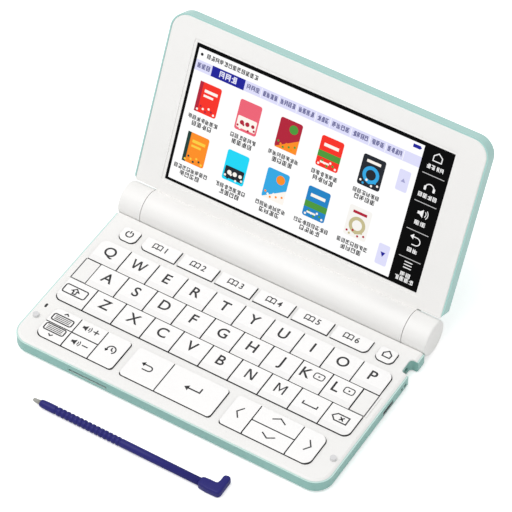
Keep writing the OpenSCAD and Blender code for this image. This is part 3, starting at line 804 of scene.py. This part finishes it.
class CameraOperator(bpy.types.Operator):
    """Places the camera at the photograph's viewing angle"""
    bl_idname = "dictionary.camera"
    bl_label = "Camera"

    def execute(self, context):
        stage = settings("stage")
        camera = bpy.data.objects.new("camera", bpy.data.cameras.new("camera"))
        context.scene.collection.objects.link(camera)
        camera.location = stage.camera_at
        look = Vector(stage.aim_at) - Vector(stage.camera_at)
        camera.rotation_mode = "QUATERNION"
        camera.rotation_quaternion = look.to_track_quat("-Z", "Y")
        camera.data.sensor_width = 36
        camera.data.lens = stage.lens
        camera.data.clip_start = 0.05
        camera.data.clip_end = 20
        context.scene.camera = camera
        return {"FINISHED"}


class StageOperator(bpy.types.Operator):
    """Makes the plain table, the room light and the softbox"""
    bl_idname = "dictionary.stage"
    bl_label = "Stage"

    def execute(self, context):
        stage = settings("stage")
        mesh = bpy.data.meshes.new("table_top")
        reach = 4.0
        below = -0.02 * MM
        mesh.from_pydata([(-reach, -reach, below), (reach, -reach, below),
                          (reach, reach, below), (-reach, reach, below)], [], [(0, 1, 2, 3)])
        link("table_top", mesh, self.floor_material(stage))
        self.room(context.scene, stage)
        lamp_data = bpy.data.lights.new("softbox", "AREA")
        lamp_data.energy = stage.lamp_watts
        lamp_data.size = stage.lamp_size
        lamp = bpy.data.objects.new("softbox", lamp_data)
        context.scene.collection.objects.link(lamp)
        lamp.location = stage.lamp_at
        lamp.rotation_mode = "QUATERNION"
        lamp.rotation_quaternion = (-lamp.location).to_track_quat("-Z", "Y")
        context.scene.view_settings.view_transform = "Standard"
        return {"FINISHED"}

    def floor_material(self, stage):
        material, tree, shader = new_material("white_table")
        texture = place_group(tree, "Moulded grain", Size=0.002)
        tree.links.new(between(tree, texture.outputs["Tone"], shaded(stage.floor, 0.985),
                               stage.floor), shader.inputs["Base Color"])
        shader.inputs["Roughness"].default_value = 0.9
        shader.inputs["Specular IOR Level"].default_value = 0.0
        path = add_node(tree, "LightPath")
        shader.inputs["Emission Color"].default_value = (1, 1, 1, 1)
        level = add_node(tree, "Math", [(0, path.outputs["Is Camera Ray"])], operation="MULTIPLY")
        level.inputs[1].default_value = stage.floor_glow
        tree.links.new(level.outputs[0], shader.inputs["Emission Strength"])
        return material

    def room(self, scene, stage):
        world = bpy.data.worlds.new("room")
        world.use_nodes = True
        tree = world.node_tree
        tree.nodes.clear()
        path = add_node(tree, "LightPath")
        seen = add_node(tree, "Math", [(0, path.outputs["Is Camera Ray"]),
                                       (1, path.outputs["Is Glossy Ray"])], operation="MAXIMUM")
        clear = add_node(tree, "Math", [(0, seen.outputs[0]),
                                        (1, path.outputs["Is Transmission Ray"])],
                         operation="MAXIMUM")
        light = add_node(tree, "Background", Color=(1, 1, 1, 1), Strength=stage.room_light)
        white = add_node(tree, "Background", Color=(1, 1, 1, 1), Strength=1.0)
        mix = add_node(tree, "MixShader", [("Fac", clear.outputs[0])])
        tree.links.new(light.outputs[0], mix.inputs[1])
        tree.links.new(white.outputs[0], mix.inputs[2])
        add_node(tree, "OutputWorld", [("Surface", mix.outputs[0])])
        scene.world = world


class ShellOperator(bpy.types.Operator):
    """Finishes the cases, deck, bezel, hinge and what lies inside them"""
    bl_idname = "dictionary.shells"
    bl_label = "Shells"

    def execute(self, context):
        shell = settings("shell")
        white = plastic("white_shell", shell.white, grain=shell.grain)
        # The lower case's mint with painted highlight on its upward faces and painted shade on its
        # steep sides and front band.
        mint = plastic("mint_shell", shell.mint_painted_highlight, roughness=0.38, grain=shell.grain, tone=0.05,
                       coat=0.15, sides=shell.mint)
        lid_mint = plastic("lid_mint", shell.lid_mint, roughness=0.38, grain=shell.grain, tone=0.05,
                           coat=0.15)
        steel = metal("pin_steel", (0.58, 0.59, 0.6))
        finishes = {
            "keyboard_deck": white, "lid_bezel": white, "hinge_knuckles": white,
            "battery_door": white, "bottom_case": mint, "lid_back_case": lid_mint,
            "feet_and_bumpers": plastic("grey_rubber", shell.rubber, roughness=0.8, tone=0.1,
                                        depth=0.2),
            # The key mat is near-black, darker than its grey rubber, as painted shade in the gaps
            # between the keys.
            "key_mat": plastic("mat_rubber", (0.03, 0.03, 0.033), roughness=0.85, tone=0.1),
            "main_board": plastic("board_lacquer", (0.02, 0.1, 0.05), roughness=0.35, tone=0.3),
            "case_screws": steel, "hinge_pins": steel,
            "lcd_module": metal("display_frame", (0.66, 0.67, 0.68)),
            "battery_cells": plastic("cell_jacket", (0.05, 0.055, 0.065), roughness=0.3, tone=0.3),
            "touch_panel": panel_black(),
        }
        for node, material in finishes.items():
            dress(node, material)
        for node in ("keyboard_deck", "bottom_case", "hinge_knuckles"):
            soften(node, shell.edge)
        soften("lid_bezel", shell.edge, angle=60)
        soften("lid_back_case", shell.back_edge, segments=4, angle=60)
        return {"FINISHED"}


class KeysOperator(bpy.types.Operator):
    """Finishes the key caps and rounds their edges"""
    bl_idname = "dictionary.keys"
    bl_label = "Key caps"

    def execute(self, context):
        shell = settings("shell")
        # Key caps with painted shade: dark sides in the gaps, and a slightly greyer front band.
        cap = plastic("key_cap", shell.key_white, roughness=0.42, grain=shell.grain * 0.8,
                      tone=0.025, marks=0.14, sides=shell.key_gap_shade)
        for node in KEYS:
            dress(node, cap)
            soften(node, shell.key_edge)
        return {"FINISHED"}


class LegendsOperator(bpy.types.Operator):
    """Prints the letters, numbers and pictograms on the keys"""
    bl_idname = "dictionary.legends"
    bl_label = "Legends"

    def execute(self, context):
        sizes = settings("legend")
        ink = printed_ink("legend_ink", sizes.ink)
        for node in KEYS:
            plane = key_plane(node)
            text = legend_text(node)
            if text:
                body, across, up, height = text
                foot = plane @ Matrix.Translation((across, up, 0))
                name = f"letter_{node}"
                if body in SHARP_LETTERS:
                    sketch = Sketch()
                    sketch.shape([(x * height / MM, y * height / MM) for x, y in SHARP_LETTERS[body]])
                    piece = sketch.make(name, foot, ink, sizes.print_t)
                else:
                    mesh = letters(body, height, sizes.weight)
                    mesh.transform(foot)
                    mesh.materials.clear()
                    piece = solid_print(name, mesh, ink, sizes.print_t)
                self.settle(piece, node)
            if node in PICTOGRAMS:
                sketch = Sketch()
                PICTOGRAMS[node](sketch, sizes.stroke / MM)
                self.settle(sketch.make(f"legend_{node}", plane, ink, sizes.print_t), node)
        return {"FINISHED"}

    def settle(self, piece, node):
        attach(piece, node)


class ScreenOperator(bpy.types.Operator):
    """Draws the lit page, its tabs, the book covers and the strip of icons"""
    bl_idname = "dictionary.screen"
    bl_label = "Screen"

    def execute(self, context):
        look = settings("screen")
        self.level = on_lid_top()
        self.rng = random.Random(look.seed)
        self.page(look)
        self.tabs(look)
        self.covers(look)
        self.captions(look)
        self.strip(look)
        return {"FINISHED"}

    def put(self, name, sketch, material, layer):
        plane = lid_plane(self.level + LIFT * layer)
        piece = sketch.make(name, plane, material, LIFT * 0.9)
        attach(piece, "lid")
        return piece

    def page(self, look):
        page = Sketch()
        page.box(*PAGE)
        self.put("screen_page", page, lit("lit_page", look.page, look.glow), 1)

    def tabs(self, look):
        row, lines, chosen, marks = Sketch(), Sketch(), Sketch(), Sketch()
        row.box(PAGE[0], PAGE[1], *TAB_S)
        chosen.box(*CHOSEN_TAB, *TAB_S)
        for x in TAB_EDGES[2:]:
            lines.box(x - 0.12, x + 0.12, TAB_S[0] + 0.3, TAB_S[1] - 0.3)
        cells = [PAGE[0], *TAB_EDGES]
        for left, right in zip(cells, cells[1:]):
            if left != CHOSEN_TAB[0]:
                marks.marks(self.rng, left + 0.8, right - 0.7, 66.7, 68.9, 1.9)
        white_marks = Sketch()
        white_marks.marks(self.rng, -47.6, -38.8, 66.4, 69.2, 2.9)
        battery = Sketch()
        battery.box(42.0, 45.4, 72.7, 74.2)
        battery.box(45.4, 45.8, 73.1, 73.8)
        navy = lit("lit_navy", look.chosen)
        self.put("screen_tab_row", row, lit("lit_lavender", look.tabs), 2)
        self.put("screen_tab_lines", lines, lit("lit_page_line", look.page), 3)
        self.put("screen_tab_chosen", chosen, navy, 3)
        self.put("screen_tab_marks", marks, lit("lit_tab_text", (0.11, 0.11, 0.28)), 3)
        self.put("screen_chosen_marks", white_marks, lit("lit_pale", (0.8, 0.8, 0.95)), 4)
        self.put("screen_battery", battery, navy, 2)
        arrows, buttons = Sketch(), Sketch()
        for low in SCROLL_S:
            buttons.box(*SCROLL_X, low, low + SCROLL_H, 0.7)
        arrows.shape([(40.8, 24.7), (41.9, 22.6), (43.0, 24.7)])
        faint = Sketch()
        faint.shape([(40.9, 56.7), (43.0, 56.7), (41.95, 58.4)])
        self.put("scroll_buttons", buttons, bpy.data.materials["lit_lavender"], 2)
        self.put("scroll_down_mark", arrows, navy, 3)
        self.put("scroll_up_mark", faint, lit("lit_dusk", (0.36, 0.36, 0.62)), 3)

    def covers(self, look):
        paint = {name: lit("lit_" + name, [linear_from_srgb(v) for v in rgb])
                 for name, rgb in COVER_COLOURS.items()}
        for i, (first, second, third) in enumerate(COVERS):
            x, s = COVER_X[i % 5], COVER_S[i // 5]
            body = Sketch()
            body.box(x - COVER_W / 2, x + COVER_W / 2, s - COVER_H / 2, s + COVER_H / 2,
                     COVER_R)
            shapes = cover_shapes(i % 5, x, s)
            self.put(f"cover_{i + 1}", body, paint[first], 2)
            self.put(f"cover_{i + 1}_motif", shapes[0], paint[second], 3)
            self.put(f"cover_{i + 1}_title", shapes[1], paint[third], 4)

    def captions(self, look):
        text = Sketch()
        text.disc(-57.0, 72.7, 0.65)
        text.marks(self.rng, -54.8, -30.0, 71.8, 73.8, 2.1)
        for x in COVER_X:
            for s in CAPTION_S:
                wide = self.rng.choice(CAPTION_WIDTHS)
                text.marks(self.rng, x - wide / 2, x + wide / 2, s, s + 1.9, 2.05)
                text.marks(self.rng, x - 4.9, x + 4.9, s - 2.6, s - 0.5, 2.4)
        self.put("screen_text", text, lit("lit_text", look.text), 2)

    def strip(self, look):
        icons, lines, marks = Sketch(), Sketch(), Sketch()
        draw_strip_icons(icons)
        for s in STRIP_LINES:
            lines.box(48.7, 58.7, s - 0.17, s + 0.17)
        for s, half in STRIP_MARKS:
            marks.marks(self.rng, STRIP_X - half, STRIP_X + half, s, s + 1.9, 2.2)
        bright = lit("lit_icon", (0.9, 0.9, 0.9))
        self.put("strip_icons", icons, bright, 1)
        self.put("strip_lines", lines, lit("lit_line", (0.5, 0.5, 0.5)), 1)
        self.put("strip_marks", marks, bright, 1)


class PortsOperator(bpy.types.Operator):
    """Fits the sockets with painted shade in their openings, paints shadow in the seams of the blank
    pads and shade in the mic slot, and fits the cloth and grip below
    """
    bl_idname = "dictionary.ports"
    bl_label = "Ports and seams"

    def execute(self, context):
        # Black socket plastic, also used for the dark sheets of painted shade in the openings and the
        # mic slot.
        dark = plastic("socket_black", (0.004, 0.004, 0.005), roughness=0.5, tone=0.3)
        steel = bpy.data.materials["pin_steel"]
        self.usb(dark, steel)
        self.strap(dark)
        self.card(dark, steel)
        self.seams()
        self.below(dark)
        return {"FINISHED"}

    def put(self, name, sketch, plane, material, thickness, body="base", slot="mint_shell"):
        piece = sketch.make(name, plane, material, thickness * MM)
        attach(piece, body)
        return piece

    def usb(self, dark, steel):
        face = facing(at(SOCKET_X, USB_Y, USB_Z) + Vector((LIFT, 0, 0)), (0, 1, 0), (0, 0, 1))
        back, shell, tongue = Sketch(), Sketch(), Sketch()
        # The back plate is the socket's black body and also painted shade filling the case's opening
        # round the shell.
        back.box(-3.7, 3.7, -1.05, 1.1)
        shell.outline(-3.55, 3.55, -0.9, 0.95, 0.7, 0.28)
        tongue.box(-2.3, 2.3, -0.2, 0.25, 0.1)
        self.put("usb_back", back, face, dark, 0.6, slot="board")
        self.put("usb_shell", shell, face, steel, 1.05, slot="steel")
        self.put("usb_tongue", tongue, face, dark, 0.8, slot="board")

    def strap(self, dark):
        # The liner is a dark sheet of painted shade inside the strap slot.
        painted_shade_sheet, bar = Sketch(), Sketch()
        painted_shade_sheet.box(-1.98, 1.98, -0.78, 0.78)
        bar.box(-0.35, 0.35, -0.8, 0.8)
        for name, sketch, x, material, thickness in (
                ("strap_liner", painted_shade_sheet, STRAP_BACK_X, dark, 1.1),
                ("strap_bar", bar, STRAP_BAR_X, bpy.data.materials["mint_shell"], 0.8)):
            face = facing(at(x, STRAP_Y, STRAP_Z), (0, 1, 0), (0, 0, 1))
            self.put(name, sketch, face, material, thickness)

    def card(self, dark, steel):
        face = facing(at(CARD_X, CARD_Y, CARD_Z), (1, 0, 0), (0, 0, 1))
        back, lip = Sketch(), Sketch()
        # The back is a dark sheet of painted shade inside the card slot.
        back.box(-8.95, 8.95, -0.58, 0.58)
        lip.box(-8.4, 8.4, -0.5, -0.3)
        self.put("card_back", back, face, dark, 1.9, slot="board")
        self.put("card_lip", lip, face, steel, 2.0, slot="steel")

    def seams(self):
        # The pad seams are dark strips of painted shadow in the gaps round the blank pads.
        ink = printed_ink("seam_shadow", settings("shell").key_gap_shade)
        seams = Sketch()
        for side in (-1, 1):
            outer, inner = sorted((side * PAD_X[1], side * PAD_X[0]))
            seams.box(side * PAD_X[1] - 0.25, side * PAD_X[1] + 0.25, *PAD_Y)
            seams.box(outer, inner, PAD_Y[0], PAD_Y[0] + 0.3)
        self.put("pad_seams", seams, top_plane(PAD_Z), ink, 0.02, slot="white_shell")
        # The mic slot is a flat dark sheet of painted shade standing for the slot's shaded inside.
        mic = Sketch()
        mic.box(-70.2, -69.2, 19.8, 22.0, 0.48)
        self.put("mic_slot", mic, top_plane(DECK_Z), bpy.data.materials["socket_black"], 0.02,
                 slot="white_shell")

    def below(self, dark):
        cloth = Sketch()
        cloth.disc(SPEAKER_X, SPEAKER_Y, SPEAKER_R)
        self.put("speaker_cloth", cloth, facing(at(0, 0, SPEAKER_Z), (-1, 0, 0), (0, 1, 0)), dark,
                 0.05, slot="mat_rubber")
        along = Vector((0, math.cos(LID_LEAN), math.sin(LID_LEAN)))
        ribs = Sketch()
        for level in GRIP_RIBS:
            ribs.box(-9, 9, level - 0.28, level + 0.28, 0.25)
        self.put("door_grip", ribs, facing(on_lid(0, 0, -BARREL_R * MM), (-1, 0, 0), along),
                 bpy.data.materials["white_shell"], 0.25, body="battery_door", slot="white_shell")


class StylusOperator(bpy.types.Operator):
    """Builds the stylus: tip, collar, ribbed grip, shaft and hook"""
    bl_idname = "dictionary.stylus"
    bl_label = "Stylus"

    def execute(self, context):
        look = settings("stylus")
        navy = plastic("navy_plastic", look.navy, roughness=0.42, tone=0.12, depth=0.03,
                       specular=0.25)
        grey = plastic("tip_grey", look.tip, roughness=0.5, tone=0.1)
        start = at(*STYLUS_TIP)
        tip = lathe("stylus_tip", [(0, 0), (0.06, 0.35), (0.25, 0.6), (0.6, 0.76), (1.2, 0.85),
                                   (3.9, 1.02), (3.9, 0)], start, grey)
        body = lathe("stylus_body", self.profile(look.rib_pitch / MM), start, navy)
        hook = self.hook(navy)
        for piece in (tip, body, hook):
            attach(piece, "stylus")
        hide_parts("stylus")
        return {"FINISHED"}

    def profile(self, pitch):
        """Distance from the tip and radius, from the collar over the grip ribs to the heel."""
        points = [(3.6, 0), (3.6, 1.2), (3.75, 1.42), (4.1, 1.54), (5.0, 1.64), (6.2, 1.72),
                  (7.4, 1.75), (10.8, 1.75), (11.0, 1.7), (11.1, 1.42), (11.8, 1.42), (11.9, 1.7)]
        for i in range(STYLUS_RIBS):
            low = RIBS_FROM + i * pitch
            points += [(low + pitch * k, r) for k, r in
                       ((0.05, 1.74), (0.15, 1.82), (0.55, 1.82), (0.66, 1.74), (0.76, 1.44),
                        (0.92, 1.44))]
        end = RIBS_FROM + STYLUS_RIBS * pitch
        return points + [(end, 1.7), (end + 0.3, 1.74), (80.5, 1.7), (80.5, 0)]

    def hook(self, navy):
        """The flat heel and the hook, as one soft-edged solid."""
        x0 = STYLUS_TIP[0]
        mesh = bpy.data.meshes.new("stylus_hook")
        bm = bmesh.new()
        flat = [bm.verts.new(at(x0 + x, STYLUS_TIP[1] + y, HEEL_Z)) for x, y in HOOK_OUTLINE]
        bottom = bm.faces.new(flat)
        top = bmesh.ops.extrude_face_region(bm, geom=[bottom])
        bmesh.ops.translate(bm, vec=(0, 0, HEEL_T * MM),
                            verts=[v for v in top["geom"] if isinstance(v, bmesh.types.BMVert)])
        bmesh.ops.recalc_face_normals(bm, faces=bm.faces)
        for face in bm.faces:
            face.smooth = True
        bm.to_mesh(mesh)
        bm.free()
        hook = link("stylus_hook", mesh, navy)
        soft = hook.modifiers.new("edges", "BEVEL")
        soft.width = HEEL_R * MM
        soft.segments = 4
        soft.limit_method = "ANGLE"
        soft.angle_limit = math.radians(50)
        return hook


OPERATORS = (CameraOperator, StageOperator, ShellOperator, KeysOperator, LegendsOperator,
             ScreenOperator, PortsOperator, StylusOperator)


class DictionaryPanel(bpy.types.Panel):
    """Lists the steps and their settings"""
    bl_idname = "VIEW3D_PT_dictionary"
    bl_label = "Electronic dictionary"
    bl_space_type = "VIEW_3D"
    bl_region_type = "UI"
    bl_category = "Dictionary"

    def draw(self, context):
        for operator in OPERATORS:
            self.layout.operator(operator.bl_idname)
        for group in SETTINGS:
            box = self.layout.box()
            for key in SETTINGS[group].__annotations__:
                box.prop(settings(group), key)


def register():
    for group, kind in SETTINGS.items():
        bpy.utils.register_class(kind)
        setattr(bpy.types.Scene, "dictionary_" + group, PointerProperty(type=kind))
    for kind in (*OPERATORS, DictionaryPanel):
        bpy.utils.register_class(kind)


def unregister():
    for kind in reversed((*OPERATORS, DictionaryPanel)):
        bpy.utils.unregister_class(kind)
    for group, kind in SETTINGS.items():
        delattr(bpy.types.Scene, "dictionary_" + group)
        bpy.utils.unregister_class(kind)


def main():
    register()
    make_moulded_grain()
    make_handling_marks()
    make_pixel_grid()
    for operator in OPERATORS:
        family, name = operator.bl_idname.split(".")
        getattr(getattr(bpy.ops, family), name)()


if __name__ == "__main__":
    main()
